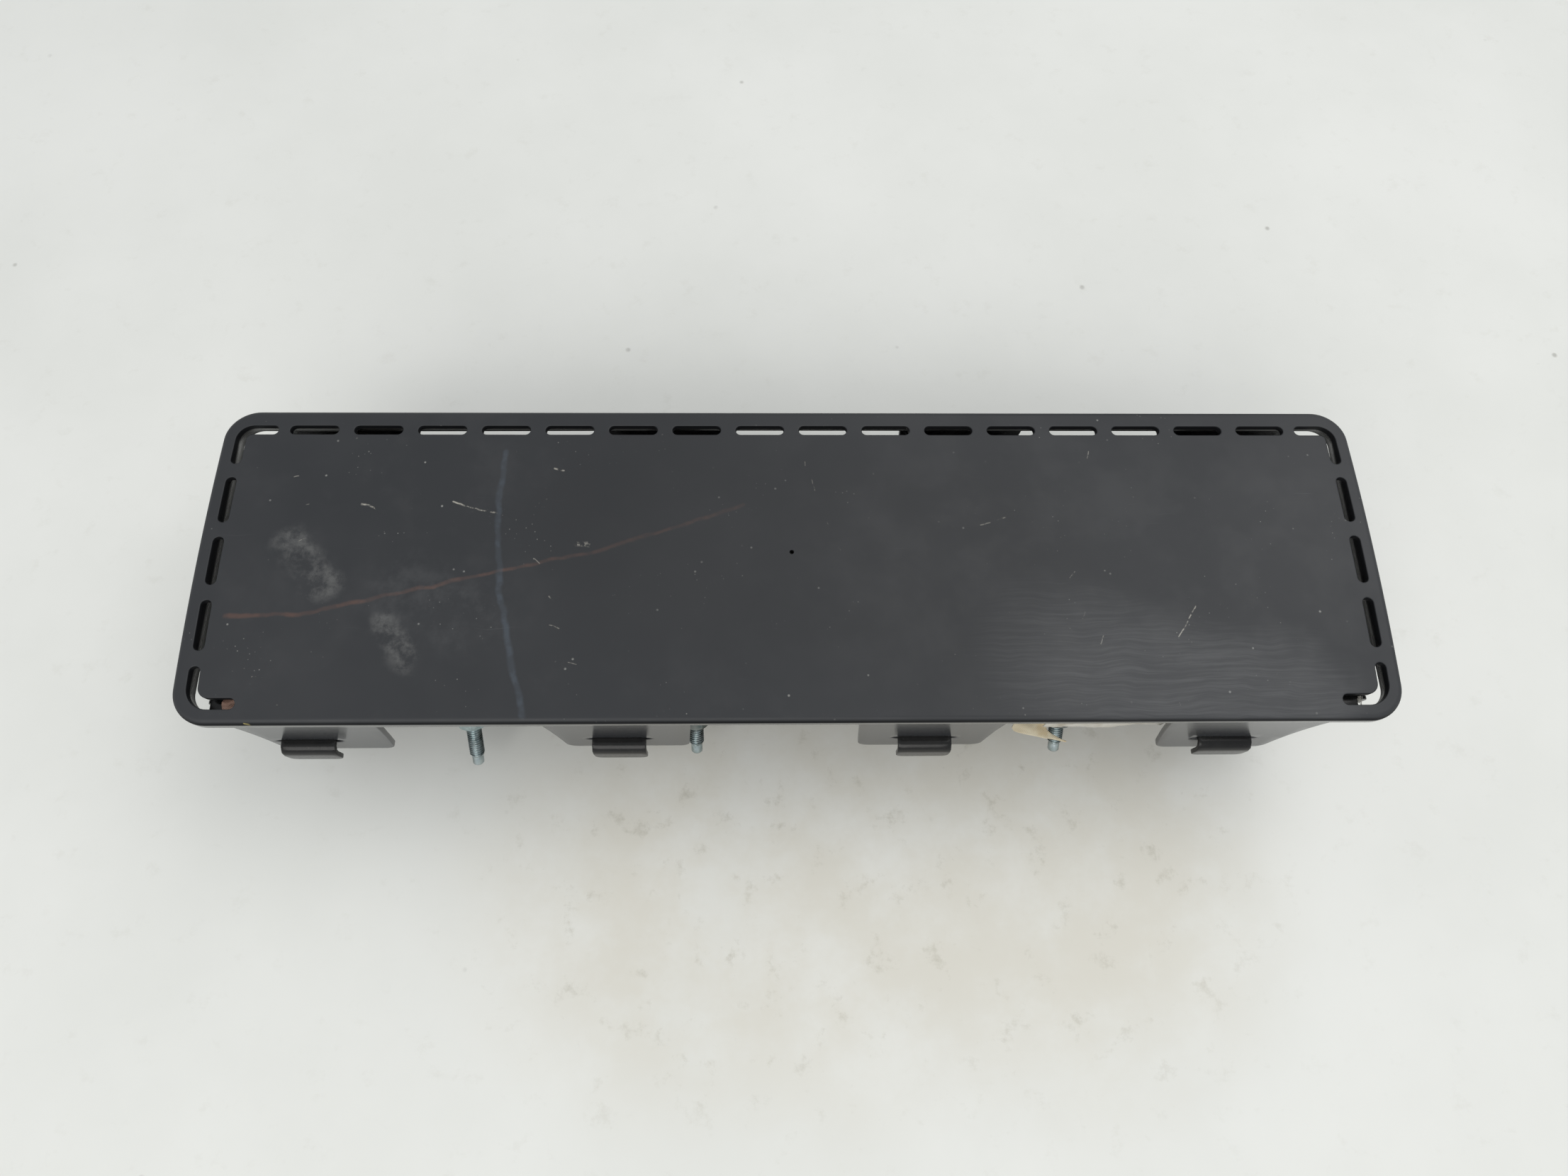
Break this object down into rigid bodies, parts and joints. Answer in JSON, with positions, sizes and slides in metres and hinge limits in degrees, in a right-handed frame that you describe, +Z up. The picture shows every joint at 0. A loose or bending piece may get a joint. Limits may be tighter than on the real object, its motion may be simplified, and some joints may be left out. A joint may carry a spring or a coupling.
{
  "type": "knee airbag module",
  "caption": "Long knee airbag module in its steel can: crowned black cover with a perforated tear seam and hinged door, snap flaps on hooks, and angled threaded studs.",
  "frame": {"origin": "on the surface it stands on, under the middle of the whole module's box", "axes": "+X along the cover's length, +Y away from the living hinge, +Z up out of the cover's face"},
  "size_m": [0.4356, 0.131, 0.0824],
  "materials": {
    "cover_plastic": "fine satin, charcoal",
    "can_paint": "satin black dip coat",
    "tube_steel": "drawn bare steel",
    "zinc_steel": "blue zinc plate",
    "contact_metal": "plated contact pins",
    "clip_plastic": "smooth yellow moulding",
    "filter_wire": "knitted wire",
    "generant": "pressed, matt",
    "cushion_cloth": "coated plain weave, reddish brown",
    "wrap_cloth": "thin non-woven cloth, cream"
  },
  "bodies": {
    "module": {"cover_frame": "cover_plastic", "living_hinge": "cover_plastic", "can_housing": "can_paint", "end_cap_left": "can_paint", "end_cap_right": "can_paint", "end_cap_rivets": "zinc_steel", "generator_tube": "tube_steel", "generator_end_plug": "tube_steel", "initiator_holder": "tube_steel", "initiator_pins": "contact_metal", "shorting_clip": "clip_plastic", "filter_screen": "filter_wire", "gas_generant": "generant", "gas_deflector": "tube_steel", "clamp_band_left": "zinc_steel", "clamp_band_right": "zinc_steel", "generator_studs": "zinc_steel", "mounting_stud": "zinc_steel", "stud_nuts": "zinc_steel", "folded_cushion": "cushion_cloth", "cushion_wrap": "wrap_cloth", "wrap_tab": "wrap_cloth"},
    "door": {"door_panel": "cover_plastic"}
  },
  "joints": [
    {"name": "door_swing", "type": "hinge", "parent": "module", "child": "door", "pos_m": [0, -0.0544, 0.08075], "axis": [1, 0, 0], "range_deg": [0, 115]}
  ]
}
